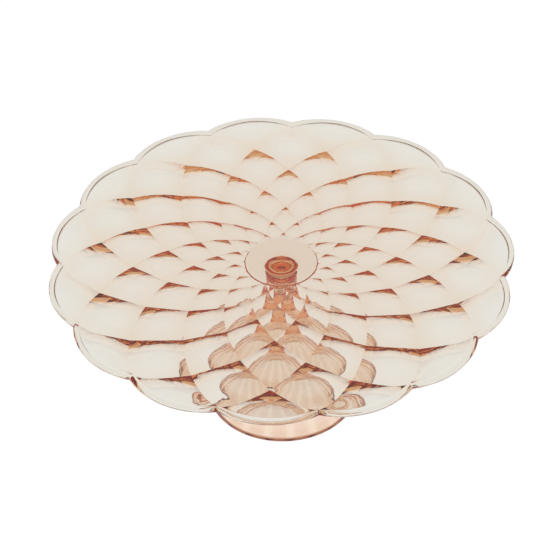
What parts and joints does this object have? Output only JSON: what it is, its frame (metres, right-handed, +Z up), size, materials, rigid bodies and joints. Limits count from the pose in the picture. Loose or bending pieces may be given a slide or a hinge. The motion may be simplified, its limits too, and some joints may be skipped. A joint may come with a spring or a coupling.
{
  "type": "footed glass cake turntable",
  "caption": "Scalloped pressed-glass cake plate that turns on a hollow flared glass pedestal.",
  "frame": {"origin": "centre of the foot's base circle, on the table", "axes": "+Z up along the axis that the plate turns on; -Y is the side the stand is seen from"},
  "size_m": [0.2984, 0.2973, 0.12],
  "materials": {
    "plate_glass": "fire-polished pressed glass, pale rose",
    "clear_cup": "clear smooth cup",
    "foot_glass": "fire-polished pressed glass, pale rose"
  },
  "bodies": {
    "foot": {"pedestal_foot": "foot_glass"},
    "pivot": {"pivot_cup": "clear_cup"},
    "plate": {"cake_plate": "plate_glass"}
  },
  "joints": [
    {"name": "plate_turn", "type": "hinge", "parent": "foot", "child": "pivot", "pos_m": [0, 0, 0.1], "axis": [0, 0, 1], "continuous": true},
    {"name": "plate_lift", "type": "slide", "parent": "pivot", "child": "plate", "axis": [0, 0, 1], "range_m": [0, 0.04]}
  ]
}
